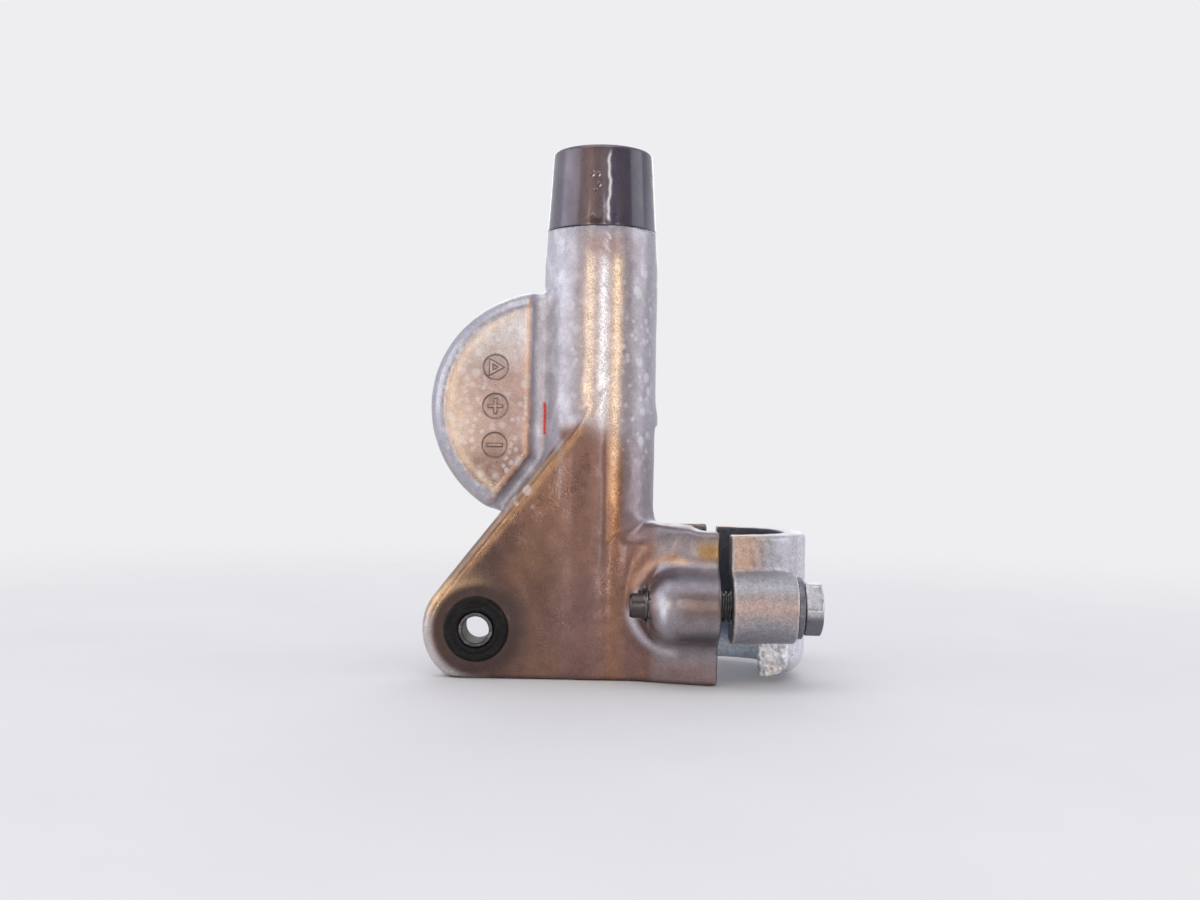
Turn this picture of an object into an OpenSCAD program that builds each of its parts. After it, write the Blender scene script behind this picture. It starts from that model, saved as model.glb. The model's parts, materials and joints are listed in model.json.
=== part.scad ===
// Two-piece tube clamp bracket: a cast post with a stop lug, a triangular web with a
// rubber-mounted eye, and a split clamp closed by two hexagon bolts.
// Millimetres. The clamp's bore axis is Z, its lower face is Z = 0, and the front is -Y.

/* [Tube clamp] */
// Radius of the bore that grips the tube
bore_r = 17.5; // [16:0.1:18]
// Outer radius of the bracket's half of the clamp
jaw_r = 23; // [22:0.1:24]
// Height of the bracket's half of the clamp
jaw_h = 38.9; // [36:0.1:42]
// Outer radius of the loose cap
cap_r = 23.6; // [22.5:0.1:24]
// Height of the loose cap
cap_h = 37; // [34:0.5:38]
// Height of the cap's lower edge above the bracket's lower face
cap_z = 1.3; // [0.5:0.1:2]
// Gap between the two halves
slit_w = 3; // [2.6:0.1:4]
// Radius of the rounding along the cap's outer lower edge
cap_round = 5; // [3:0.5:6]

/* [Bolt bosses] */
// Distance of each bolt axis from the bore axis
bolt_y = 23.2; // [22.8:0.1:24]
// Height of the bolt axes
bolt_z = 20.2; // [18:0.1:21]
// Radius of the bolt bosses
boss_r = 9; // [8:0.1:9.5]
// Distance from the bore axis to the far end of the cap's bosses
cap_boss_x = 17.9; // [17:0.1:20]
// Distance from the bore axis to the centre of the domed ends
dome_x = 11.8; // [10:0.1:13]

/* [Bolts and washers] */
// Radius of the bolt shank
shank_r = 3.95; // [3.9:0.01:3.98]
// Radius of the threaded hole in the bracket
tapped_r = 4; // [4:0.01:4.05]
// Radius of the clearance hole in the cap
clear_r = 4.5; // [4.3:0.1:4.8]
// Width across the flats of the bolt head
head_af = 13; // [12:0.5:13]
// Height of the bolt head
head_h = 4.8; // [4:0.1:5.5]
// Distance from the bore axis to the bolt's tip
tip_x = 24.2; // [22:0.1:26]
// Outer radius of the washers
washer_r = 7.8; // [7:0.1:8.2]
// Thickness of the washers
washer_t = 1.6; // [1.2:0.1:2]

/* [Post] */
// Distance of the post axis to the left of the bore axis
post_x = 32.8; // [32.8:0.1:36]
// Distance of the post axis in front of the bore axis
post_y = 1.8; // [0:0.1:3]
// Radius of the post
post_r = 15.2; // [14:0.1:15.2]
// Radius of the post at its top end
post_top_r = 13.25; // [12:0.05:14]
// Height at which the taper starts
taper_z = 109; // [104:1:114]
// Height at which the end cap starts
cap_seam_z = 118; // [115:1:124]
// Height of the top end
post_top_z = 139.4; // [130:0.1:145]
// Radius of the spigot inside the end cap
spigot_r = 10.5; // [8:0.5:11]

/* [Web and eye] */
// Distance of the web's front face in front of the bore axis
web_front = 16.9; // [16:0.1:16.9]
// Thickness of the web
web_t = 9; // [7:0.5:10]
// Distance of the eye to the left of the bore axis
eye_x = 63.7; // [62:0.1:65]
// Height of the eye
eye_z = 12.6; // [11:0.1:14]
// Radius of the nose around the eye
nose_r = 14.6; // [13.6:0.1:15]
// Rise of the web's slanting edge for each millimetre to the right
slant_rise = 1.28; // [1.2:0.01:1.35]
// Radius of the grommet's two flanges
grommet_r = 8.4; // [8:0.1:9]
// Radius of the hole that holds the grommet
eye_hole_r = 7; // [6.5:0.1:7.5]
// Height of each grommet flange above the web
flange_t = 1.4; // [1:0.1:2]
// Outer radius of the steel collar
collar_r = 4.4; // [4.2:0.1:5]
// Bore radius of the steel collar
collar_bore_r = 3.45; // [3.2:0.05:3.6]

/* [Stop lug] */
// Radius of the lug's round edge
lug_r = 30.3; // [28:0.1:32]
// Distance of the lug's centre to the left of the bore axis
lug_x = 46.5; // [46:0.1:49]
// Height of the lug's centre
lug_z = 70.6; // [69:0.1:73]
// Distance of the lug's face in front of the bore axis
lug_front = 13; // [12:0.1:14]
// Distance of the lug's back behind the bore axis
lug_back = 3; // [1:0.5:5]
// Depth of the trough between the lug's face and the post
trough_d = 4.2; // [2:0.1:4.5]
// Radius of the recessed marks
mark_r = 3.4; // [2.5:0.1:4]

/* [Hidden] */
$fn = 96;

FRONT = -1;
REAR = 1;
eps = 0.1;
far = 200;
half_slit = slit_w / 2;
edge_r = 1.5;
// Free play left between pieces that turn against each other
play = 0.05;
// The tube passes the post in a slightly wider channel, which also breaks the bore's top edge
relief_r = bore_r + 0.6;
relief_z = 66;
relief_lead = 0.5;
// Radius of the fillet between the post and the top of the clamp
foot_fillet = 6;
// The gusset that joins each boss to the clamp ring stays inside the boss's round
gusset_half_h = boss_r - 0.8;
head_x = cap_boss_x + washer_t + play;
head_corner_r = head_af / sqrt(3);
tip_chamfer = 1.2;
// The nose's centre lies a little off the eye
nose_x = eye_x - 0.3;
nose_z = eye_z - 0.3;
// The slanting edge leaves the nose just inside its tangent point
slant_norm = sqrt(1 + slant_rise * slant_rise);
slant_x = nose_x + 0.995 * nose_r * slant_rise / slant_norm;
slant_z = nose_z + 0.995 * nose_r / slant_norm;
// The lug's straight edge, and the height where it turns parallel to the web's edge
lug_edge_x = 50.5;
lug_turn_z = 57.7;
mark_gap = 10.2;
mark_x = 60;
mark_depth = 0.5;

// Puts a shape drawn in X and Z into a plate of thickness t with its front face at -front
module plate(front, t) {
    translate([0, t - front, 0]) rotate([90, 0, 0]) linear_extrude(t) children();
}

// Puts a shape that stands on Z onto a bolt axis, so that it points along +X
module along_bolt(side, x) {
    translate([x, side * bolt_y, bolt_z]) rotate([0, 90, 0]) children();
}

// Radius of the post at height z
function post_radius(z) =
    z <= taper_z ? post_r : post_r - (post_r - post_top_r) * (z - taper_z) / (post_top_z - taper_z);

module on_post(z) {
    translate([-post_x, -post_y, z]) children();
}

module post_core() {
    on_post(0) cylinder(h = taper_z, r = post_r);
    on_post(taper_z) cylinder(h = cap_seam_z - taper_z, r1 = post_r, r2 = post_radius(cap_seam_z));
    on_post(cap_seam_z - 1) cylinder(h = post_top_z - cap_seam_z - 1, r = spigot_r);
}

// A ring-shaped concave fillet where the post stands on the clamp
module foot() {
    outer = post_r + foot_fillet;
    intersection() {
        on_post(jaw_h - 1) rotate_extrude() difference() {
            translate([post_r - 1, 0]) square([foot_fillet + 1, foot_fillet + 1]);
            translate([outer, foot_fillet + 1]) circle(r = foot_fillet);
        }
        union() {
            cylinder(h = far, r = jaw_r - 0.2);
            translate([-post_x, -web_front + 0.3, 0]) cube([post_x - 12, 6, far]);
        }
    }
}

module web_outline() {
    top_x = post_x + 4;
    top_z = slant_z + slant_rise * (slant_x - top_x);
    intersection() {
        union() {
            translate([-nose_x, nose_z]) circle(r = nose_r);
            polygon([
                [-nose_x, 0],
                [-12, 0],
                [-12, jaw_h - 0.4],
                [-post_x, jaw_h + 8],
                [-post_x, top_z],
                [-top_x, top_z],
                [-slant_x, slant_z],
            ]);
        }
        translate([-100, 0]) square([100, 100]);
    }
}

// The lug is a disc with a rounded front edge, cut off inside the post
module lug_disc() {
    depth = lug_front + lug_back;
    round_r = 3.5;
    intersection() {
        translate([-lug_x, lug_back, lug_z]) rotate([90, 0, 0]) rotate_extrude() union() {
            square([lug_r - round_r, depth]);
            square([lug_r, depth - round_r]);
            translate([lug_r - round_r, depth - round_r]) circle(r = round_r);
        }
        translate([-100, -50, 0]) cube([100 - post_x - 4, 100, far]);
    }
}

module trough_outline() {
    run = 20;
    polygon([
        [-lug_edge_x, lug_z + 40],
        [-lug_edge_x, lug_turn_z],
        [-lug_edge_x - run, lug_turn_z - run * slant_rise],
        [-20, lug_turn_z - run * slant_rise],
        [-20, lug_z + 40],
    ]);
}

module lug() {
    difference() {
        lug_disc();
        plate(lug_front + eps, trough_d) trough_outline();
        for (i = [-1:1])
            translate([-mark_x, mark_depth - lug_front, lug_z + i * mark_gap]) rotate([90, 0, 0])
                cylinder(h = 2, r = mark_r);
    }
    // Plain generic signs stand in the recesses: a triangle, a cross and a bar
    plate(lug_front - 0.1, 1) translate([-mark_x, lug_z + mark_gap])
        polygon([[-1.6, -1.3], [1.8, 0], [-1.6, 1.3]]);
    plate(lug_front - 0.1, 1) translate([-mark_x, lug_z]) {
        square([3.6, 1], center = true);
        square([1, 3.6], center = true);
    }
    plate(lug_front - 0.1, 1) translate([-mark_x, lug_z - mark_gap]) square([3.8, 1], center = true);
}

// One bolt boss on the bracket: a round run with a domed end, and the gusset that joins it to
// the ring. Both reach past the slit, which trims them.
module body_boss(side) {
    gusset_x = 17;
    gusset_y = bolt_y - 2;
    trim = 3;
    along_bolt(side, -dome_x) rotate_extrude() {
        square([boss_r, dome_x + trim]);
        intersection() {
            circle(r = boss_r);
            translate([0, -boss_r]) square([boss_r, boss_r + 1]);
        }
    }
    translate([-gusset_x, side > 0 ? 6 : -gusset_y, bolt_z - gusset_half_h])
        cube([gusset_x + trim, gusset_y - 6, 2 * gusset_half_h]);
}

module bracket_body() {
    color("#a8a2a0") difference() {
        union() {
            post_core();
            foot();
            plate(web_front, web_t) web_outline();
            lug();
            cylinder(h = jaw_h, r = jaw_r);
            body_boss(FRONT);
            body_boss(REAR);
        }
        translate([0, 0, -1]) cylinder(h = jaw_h + 2, r = bore_r);
        translate([0, 0, jaw_h - relief_lead]) cylinder(h = relief_z - jaw_h + relief_lead, r = relief_r);
        translate([-half_slit, -50, -1]) cube([100, 100, far]);
        for (side = [FRONT, REAR]) along_bolt(side, -40) cylinder(h = 50, r = tapped_r);
        translate([-eye_x, 0, eye_z]) rotate([90, 0, 0]) cylinder(h = 40, r = eye_hole_r);
    }
}

module post_end_cap() {
    rim = 0.8;
    color("#4a4248") difference() {
        on_post(cap_seam_z) union() {
            cylinder(h = post_top_z - cap_seam_z - rim, r1 = post_radius(cap_seam_z), r2 = post_radius(post_top_z - rim));
            translate([0, 0, post_top_z - cap_seam_z - rim])
                cylinder(h = rim, r1 = post_radius(post_top_z - rim), r2 = post_top_r - rim);
        }
        on_post(cap_seam_z - 1) cylinder(h = post_top_z - cap_seam_z - 1, r = spigot_r);
    }
}

// One bolt boss on the cap with its gusset
module cap_boss(side) {
    along_bolt(side, half_slit) cylinder(h = cap_boss_x - half_slit, r = boss_r);
    gusset_y = bolt_y - 2;
    translate([half_slit, side > 0 ? 6 : -gusset_y, bolt_z - gusset_half_h])
        cube([cap_boss_x - half_slit - 1, gusset_y - 6, 2 * gusset_half_h]);
}

// The missing lower front corner of the cap, broken off in use
module broken_corner() {
    break_x = 13;
    break_y = 15.4;
    break_z = bolt_z - boss_r - 0.2;
    translate([break_x, -break_y, -1]) rotate([0, 0, -14])
        translate([-40, -40, 0]) cube([48, 40, break_z + 1]);
}

module clamp_cap() {
    color("#b4aeab") difference() {
        union() {
            translate([0, 0, cap_z]) rotate_extrude() union() {
                square([cap_r - cap_round, cap_h]);
                translate([0, cap_round]) square([cap_r, cap_h - cap_round - edge_r]);
                square([cap_r - edge_r, cap_h]);
                translate([cap_r - edge_r, cap_h - edge_r]) circle(r = edge_r);
            }
            cap_boss(FRONT);
            cap_boss(REAR);
        }
        translate([0, 0, cap_z]) rotate_extrude() difference() {
            translate([cap_r - cap_round, -1]) square([cap_round + 1, cap_round + 1]);
            translate([cap_r - cap_round, cap_round]) circle(r = cap_round);
        }
        translate([0, 0, -1]) cylinder(h = jaw_h + 2, r = bore_r);
        translate([half_slit - 100, -50, -1]) cube([100, 100, far]);
        for (side = [FRONT, REAR]) along_bolt(side, -40) cylinder(h = 80, r = clear_r);
        broken_corner();
    }
}

// A hexagon bolt whose corner faces the front
module clamp_bolt(side) {
    color("#8f8c8a") {
        along_bolt(side, -tip_x) cylinder(h = tip_chamfer, r1 = shank_r - 1, r2 = shank_r);
        along_bolt(side, tip_chamfer - tip_x) cylinder(h = head_x + tip_x - tip_chamfer, r = shank_r);
        intersection() {
            along_bolt(side, head_x) rotate([0, 0, 30]) cylinder(h = head_h, r = head_corner_r, $fn = 6);
            along_bolt(side, head_x - 1) cylinder(h = head_h + 1, r1 = head_corner_r + 5.2, r2 = head_af / 2 - 0.2);
        }
    }
}

module front_clamp_bolt() {
    clamp_bolt(FRONT);
}

module rear_clamp_bolt() {
    clamp_bolt(REAR);
}

module bolt_washer(side) {
    color("#77736f") along_bolt(side, cap_boss_x) difference() {
        cylinder(h = washer_t, r = washer_r);
        translate([0, 0, -1]) cylinder(h = washer_t + 2, r = tapped_r + 0.2);
    }
}

module front_bolt_washer() {
    bolt_washer(FRONT);
}

module rear_bolt_washer() {
    bolt_washer(REAR);
}

// The rubber sits in the eye hole and grips both faces of the web
module eye_grommet() {
    lip = 0.6;
    total = web_t + 2 * flange_t;
    color("#1b1a1a") translate([-eye_x, web_t - web_front + flange_t, eye_z]) rotate([90, 0, 0])
        rotate_extrude() difference() {
            union() {
                translate([collar_r, 0]) square([eye_hole_r - collar_r, total]);
                for (base = [0, total - flange_t]) {
                    translate([collar_r, base]) square([grommet_r - lip - collar_r, flange_t]);
                    translate([collar_r, base + (base > 0 ? 0 : lip)])
                        square([grommet_r - collar_r, flange_t - lip]);
                    translate([grommet_r - lip, base + (base > 0 ? flange_t - lip : lip)]) circle(r = lip);
                }
            }
            translate([0, -1]) square([collar_r, total + 2]);
        }
}

module grommet_collar() {
    stand = 0.2;
    total = web_t + 2 * flange_t + 2 * stand;
    color("#8a8782") translate([-eye_x, web_t - web_front + flange_t + stand, eye_z]) rotate([90, 0, 0])
        difference() {
            cylinder(h = total, r = collar_r);
            translate([0, 0, -1]) cylinder(h = total + 2, r = collar_bore_r);
        }
}

bracket_body();
post_end_cap();
clamp_cap();
front_clamp_bolt();
rear_clamp_bolt();
front_bolt_washer();
rear_bolt_washer();
eye_grommet();
grommet_collar();
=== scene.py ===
"""The looks of a two-piece tube clamp bracket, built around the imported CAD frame.

The castings are distance fields in millimetres, meshed and coloured here. The steel, rubber and
dark end pieces are lathed or swept meshes. Every place comes from the frame.
"""
import json
import math

import bmesh
import bpy
import numpy as np
from mathutils import Matrix, Vector


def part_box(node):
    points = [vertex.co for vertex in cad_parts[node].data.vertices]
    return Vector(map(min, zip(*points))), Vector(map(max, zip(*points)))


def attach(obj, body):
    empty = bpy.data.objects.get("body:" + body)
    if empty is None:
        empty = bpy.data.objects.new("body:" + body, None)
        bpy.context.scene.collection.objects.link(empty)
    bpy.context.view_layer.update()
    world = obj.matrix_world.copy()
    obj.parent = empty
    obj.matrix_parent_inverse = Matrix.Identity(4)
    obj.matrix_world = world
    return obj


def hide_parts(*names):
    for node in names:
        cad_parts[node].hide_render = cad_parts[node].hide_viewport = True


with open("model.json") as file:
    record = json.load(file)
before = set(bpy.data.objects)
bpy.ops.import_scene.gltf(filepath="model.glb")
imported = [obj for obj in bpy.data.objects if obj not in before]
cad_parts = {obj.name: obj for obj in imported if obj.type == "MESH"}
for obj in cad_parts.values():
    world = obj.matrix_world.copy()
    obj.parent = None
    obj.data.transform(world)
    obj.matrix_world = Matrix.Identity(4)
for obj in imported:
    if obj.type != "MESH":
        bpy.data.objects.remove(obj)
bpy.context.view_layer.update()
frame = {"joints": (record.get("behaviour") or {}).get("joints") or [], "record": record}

MM = 0.001

# ---- sizes, from the frame (mm)
record = frame["record"]
mounts = {m["name"]: m for m in record["mounts"]}
joints = {j["name"]: j for j in frame["joints"]}


def node_box(name):
    low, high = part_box(name)
    return np.array(low) / MM, np.array(high) / MM


BORE_R = mounts["clamp_bore"]["dims"]["r_mm"]
JAW_H = mounts["clamp_bore"]["dims"]["length_mm"]
EYE_X = mounts["eye_collar"]["pos_m"][0] / MM
EYE_Z = mounts["eye_collar"]["pos_m"][2] / MM
COLLAR_BORE_R = mounts["eye_collar"]["dims"]["r_mm"]
BOLT_Y = joints["rear_bolt_turn"]["pos_m"][1] / MM
BOLT_Z = joints["rear_bolt_turn"]["pos_m"][2] / MM

body_low, body_high = node_box("bracket_body")
end_low, end_high = node_box("post_end_cap")
cap_low, cap_high = node_box("clamp_cap")
bolt_low, bolt_high = node_box("front_clamp_bolt")
washer_low, washer_high = node_box("front_bolt_washer")
rubber_low, rubber_high = node_box("eye_grommet")
collar_low, collar_high = node_box("grommet_collar")

POST_X = (end_low[0] + end_high[0]) / 2
POST_Y = (end_low[1] + end_high[1]) / 2
SEAM_Z = end_low[2]
TOP_Z = end_high[2]
SEAM_R = (end_high[0] - end_low[0]) / 2
CAP_R = cap_high[0]
CAP_Z = cap_low[2]
CAP_TOP = cap_high[2]
HALF_SLIT = cap_low[0]
HEAD_X = washer_high[0]

# ---- sizes kept from the design (mm)
POST_R = 15.2
TAPER_Z = 109.0
TOP_R = 13.25
SPIGOT_R = 10.5
JAW_R = 23.0
BOSS_R = 9.0
DOME_X = -11.8
CAP_BOSS_X = 17.9
CAP_ROUND = 5.0
TAPPED_R = 4.05
CLEAR_R = 4.5
WEB_FRONT = -16.9
WEB_T = 9.0
NOSE_R = 14.6
NOSE_X = EYE_X + 0.3
NOSE_Z = EYE_Z - 0.3
RISE = 1.28
EYE_HOLE_R = 7.0
LUG_R = 30.3
LUG_X = -46.5
LUG_Z = 70.6
LUG_FRONT = -13.0
LUG_BACK = 3.0
LUG_EDGE_X = -50.5
LUG_TURN_Z = 57.7
TROUGH_Y = -8.8
MARK_X = -60.0
MARK_ZS = [LUG_Z + gap for gap in (-10.2, 0, 10.2)]
MARK_R = 3.4
MARK_DEPTH = 0.46
RELIEF_R = BORE_R + 0.6
RELIEF_Z = 66.0
# the piece broken off the cap's lower front corner: its inner corner, its length and its turn
BREAK_X = 13.0
BREAK_Y = -15.4
BREAK_LENGTH = 8.0
BREAK_TURN = math.radians(-14)
# the bolts
HEAD_FLATS = 13.0
PITCH = 1.25
THREAD_R = 3.94
THREAD_ROOT_R = 3.26
THREAD_END_X = 9.0
# the photograph's view
CAMERA_AT = (-32.36, -356.2, 59.55)
CAMERA_LENS = 39.3
CAMERA_ROLL = math.radians(1.0)
FLOOR_R = 600.0

SLANT = np.array([-RISE, 1.0]) / math.hypot(RISE, 1.0)
SLANT_X = NOSE_X + NOSE_R * SLANT[0]
SLANT_Z = NOSE_Z + NOSE_R * SLANT[1]


# ---- field tools
def smin(a, b, k):
    h = np.maximum(k - np.abs(a - b), 0.0) / k
    return np.minimum(a, b) - h * h * k / 4


def smax(a, b, k):
    return -smin(-a, -b, k)


def ramp(a, b, v):
    """0 at a, 1 at b, smooth between; a may be larger than b."""
    t = np.clip((v - a) / (b - a), 0.0, 1.0)
    return t * t * (3 - 2 * t)


def bell(v, centre, width):
    return np.exp(-(((v - centre) / width) ** 2))


def slab(outline, depth, r):
    """A flat shape of that outline distance and depth distance, with its edges rounded by r."""
    q1 = outline + r
    q2 = depth + r
    return np.minimum(np.maximum(q1, q2), 0) + np.hypot(np.maximum(q1, 0), np.maximum(q2, 0)) - r


def waves(x, y, z, scale, seed, count=7):
    """Smooth noise of about -1 to 1, from waves of about that length in mm."""
    rng = np.random.default_rng(seed)
    total = 0.0
    for _ in range(count):
        d = rng.normal(size=3)
        d *= 2 * math.pi / (scale * (0.7 + 0.8 * rng.random())) / np.linalg.norm(d)
        total = total + np.sin(x * d[0] + y * d[1] + z * d[2] + rng.random() * 6.28)
    return total / math.sqrt(count) / 1.2


def post_radius(z):
    return np.interp(z, [0, TAPER_Z, TOP_Z], [POST_R, POST_R, TOP_R])


def slant_distance(x, z):
    """Distance in front of the web's slanting edge, positive outside."""
    return (x - SLANT_X) * SLANT[0] + (z - SLANT_Z) * SLANT[1]


def bolt_distance(y, z):
    """Distance from the nearer bolt's axis."""
    return np.hypot(np.abs(y) - BOLT_Y, z - BOLT_Z)


def lug_edge_distance(x, z):
    """Distance past the edges of the lug's raised face, negative on the face."""
    return np.maximum(x - LUG_EDGE_X, -((x - LUG_EDGE_X) * SLANT[0] + (z - LUG_TURN_Z) * SLANT[1]))


def body_field(x, y, z):
    """The bracket's casting: negative inside."""
    sides = np.abs(y)
    from_post = np.hypot(x - POST_X, y - POST_Y)
    post = smax(from_post - post_radius(z), z - SEAM_Z, 0.35)
    nib_x = (x - POST_X - POST_R + 0.6) / 1.2
    nib = np.sqrt(nib_x ** 2 + ((y - POST_Y) / 4) ** 2 + ((z - 68) / 3.4) ** 2) - 1
    post = smin(post, nib, 0.8)
    # the web: its nose, its slanting edge, and the part that runs on to the clamp
    past_nose = (x - NOSE_X) * SLANT[1] - (z - NOSE_Z) * SLANT[0]
    left = np.minimum(NOSE_X - x, -past_nose)
    wedge = np.maximum(slant_distance(x, z), np.maximum(left, x - POST_X - 4.0))
    outline = np.minimum(np.hypot(x - NOSE_X, z - NOSE_Z) - NOSE_R, wedge)
    foot = np.maximum(np.maximum(POST_X - 6 - x, x + 11), z - JAW_H + 1.2)
    depth = np.abs(y - (WEB_FRONT + WEB_T / 2)) - WEB_T / 2
    web = slab(outline, depth, 3.0)
    foot = slab(foot, depth, 4.0)
    # the stop lug: a rounded disc, its raised face and the trough beside the post
    disc = np.hypot(x - LUG_X, z - LUG_Z) - LUG_R
    disc_cut = np.maximum(disc, x - POST_X + 5)
    base_depth = np.abs(y - (TROUGH_Y + LUG_BACK) / 2) - (LUG_BACK - TROUGH_Y) / 2
    base = slab(disc_cut, base_depth, 2.0)
    mid = (LUG_FRONT + LUG_BACK) / 2
    round_r = np.where(y < mid, 4.3, 2.0)
    full = slab(disc, np.abs(y - mid) - (LUG_BACK - LUG_FRONT) / 2, round_r)
    raised = smax(full, lug_edge_distance(x, z), 2.2)
    lug = smin(base, raised, 2.4)
    # the clamp: a ring, a boss with a domed end on each side, and the metal between them
    ring = np.hypot(x, y) - JAW_R
    jaw = smax(ring, z - JAW_H, 2.6)
    boss = np.sqrt(np.minimum(x - DOME_X, 0) ** 2 + (sides - BOLT_Y) ** 2 + (z - BOLT_Z) ** 2) - BOSS_R
    gusset = slab(
        np.maximum(-17.0 - x, sides - BOLT_Y + 2), np.abs(z - BOLT_Z) - BOSS_R + 0.8, 1.5
    )
    clamp = smin(jaw, smin(boss, gusset, 3.0), 5.0)
    corner = 1.5 + 1.4 * ramp(-16.0, -13.0, y) + 2.0 * ramp(3.0, 7.0, x - POST_X)
    shape = smin(smin(post, clamp, 6.5), smin(web, foot, 0.4), corner)
    shape = smin(shape, smin(foot, clamp, 9.5), 0.4)
    shape = smin(shape, lug, 2.0)
    shape = shape + 0.07 * waves(x, y, z, 19, 3) + 0.03 * waves(x, y, z, 6, 4)
    # machined cuts
    radius = np.hypot(x, y)
    shape = smax(shape, x + HALF_SLIT, 0.7)
    shape = smax(shape, -z, 0.9)
    shape = smax(shape, -np.maximum(radius - BORE_R, z - JAW_H - 1), 0.7)
    relief = -np.maximum(np.maximum(radius - RELIEF_R, z - RELIEF_Z), JAW_H - 0.5 - z)
    shape = smax(shape, relief, 0.5)
    ragged = ramp(-16.6, -18.4, x) * (0.35 + 0.55 * waves(x, y, z, 2.6, 11))
    hole = bolt_distance(y, z) - TAPPED_R - np.maximum(ragged, 0)
    hole = np.maximum(hole, -24.0 - x)
    shape = smax(shape, -hole, 0.3)
    eye = np.hypot(x - EYE_X, z - EYE_Z) - EYE_HOLE_R
    shape = smax(shape, -eye, 0.5)
    # the spigot inside the dark end
    spigot = smax(from_post - SPIGOT_R, z - TOP_Z + 2.1, 0.8)
    spigot = np.maximum(spigot, SEAM_Z - 2 - z)
    return np.minimum(shape, spigot)


def break_distance(x, y, z):
    """Distance outside the piece broken off the cap, negative inside it."""
    u = x - BREAK_X
    v = y - BREAK_Y
    along = u * math.cos(BREAK_TURN) + v * math.sin(BREAK_TURN)
    across = -u * math.sin(BREAK_TURN) + v * math.cos(BREAK_TURN)
    return np.maximum(np.maximum(along - BREAK_LENGTH, across), z - BOLT_Z + BOSS_R + 0.4)


def cap_field(x, y, z):
    """The loose half of the clamp: negative inside."""
    mid = (CAP_Z + CAP_TOP) / 2
    round_r = np.where(z < mid, CAP_ROUND, 1.5)
    radius = np.hypot(x, y)
    shape = slab(radius - CAP_R, np.abs(z - mid) - (CAP_TOP - CAP_Z) / 2, round_r)
    boss = smax(bolt_distance(y, z) - BOSS_R, x - CAP_BOSS_X, 0.9)
    outline = np.maximum(x - CAP_BOSS_X + 1, np.abs(y) - BOLT_Y + 2)
    gusset = slab(outline, np.abs(z - BOLT_Z) - BOSS_R + 0.8, 1.0)
    shape = smin(shape, smin(boss, gusset, 1.5), 1.6)
    shape = shape + 0.06 * waves(x, y, z, 15, 21) + 0.03 * waves(x, y, z, 4, 22)
    shape = smax(shape, HALF_SLIT - x, 0.5)
    shape = smax(shape, BORE_R - radius, 0.6)
    shape = smax(shape, CLEAR_R - bolt_distance(y, z), 0.3)
    grain = 0.35 * np.abs(waves(x, y, z, 2.6, 31)) + 0.5 * waves(x, y, z, 6, 32)
    return smax(shape, -(break_distance(x, y, z) + grain), 0.25)


# ---- meshing a field
def surface_net(field, low, high, step):
    """Vertices and quads on the field's zero level."""
    axes = [np.arange(low[i], high[i] + step, step) for i in range(3)]
    values = field(*np.meshgrid(*axes, indexing="ij"))
    inside = values < 0
    corners = [(i, j, k) for i in (0, 1) for j in (0, 1) for k in (0, 1)]
    cells = tuple(n - 1 for n in values.shape)
    count = np.zeros(cells, np.int8)
    for c in corners:
        count += inside[tuple(slice(o, o + n) for o, n in zip(c, cells))]
    active = (count > 0) & (count < 8)
    index = np.argwhere(active)
    at = [values[tuple((index + c).T)] for c in corners]
    total = np.zeros(index.shape)
    hits = np.zeros(len(index))
    for a, ca in enumerate(corners):
        for b, cb in enumerate(corners):
            if b <= a or sum(abs(p - q) for p, q in zip(ca, cb)) != 1:
                continue
            cross = (at[a] < 0) != (at[b] < 0)
            t = np.where(cross, at[a] / np.where(cross, at[a] - at[b], 1), 0)
            place = np.array(ca) + t[:, None] * (np.array(cb) - np.array(ca))
            total += np.where(cross[:, None], place, 0)
            hits += cross
    points = np.array([a[0] for a in axes]) + (index + total / hits[:, None]) * step
    ids = np.full(cells, -1)
    ids[tuple(index.T)] = np.arange(len(index))
    quads = []
    for axis in range(3):
        u = np.eye(3, dtype=int)[(axis + 1) % 3]
        v = np.eye(3, dtype=int)[(axis + 2) % 3]
        first = np.take(inside, range(values.shape[axis] - 1), axis)
        second = np.take(inside, range(1, values.shape[axis]), axis)
        base = np.argwhere(first != second)
        across, up = base @ u, base @ v
        keep = (across > 0) & (up > 0) & (across < cells[(axis + 1) % 3]) & (up < cells[(axis + 2) % 3])
        base = base[keep]
        out = first[tuple(base.T)]
        ring = np.stack([ids[tuple((base - d).T)] for d in (u + v, v, 0 * u, u)], 1)
        ring[~out] = ring[~out][:, ::-1]
        quads.append(ring)
    return points, np.concatenate(quads)


def gradient(field, p, e=0.04):
    out = np.zeros(p.shape)
    for i in range(3):
        d = np.zeros(3)
        d[i] = e
        out[:, i] = (field(*(p + d).T) - field(*(p - d).T)) / (2 * e)
    return out


def settle(field, p, reach, rounds=3):
    """Moves each point onto the zero level."""
    for _ in range(rounds):
        g = gradient(field, p)
        move = field(*p.T)[:, None] * g / np.maximum((g * g).sum(1), 0.05)[:, None]
        size = np.linalg.norm(move, axis=1)[:, None]
        p = p - move * np.minimum(1, reach / np.maximum(size, 1e-9))
    return p


def largest_part(count, quads):
    """Keeps the quads of the largest connected piece."""
    label = np.arange(count)
    while True:
        low = label[quads].min(1)
        new = label.copy()
        np.minimum.at(new, quads.ravel(), np.repeat(low, 4))
        new = new[new]
        if (new == label).all():
            break
        label = new
    best = np.bincount(label[quads[:, 0]]).argmax()
    return quads[label[quads[:, 0]] == best]


def compact(points, faces):
    used = np.unique(faces)
    back = np.full(len(points), -1)
    back[used] = np.arange(len(used))
    return points[used], back[faces]


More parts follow.
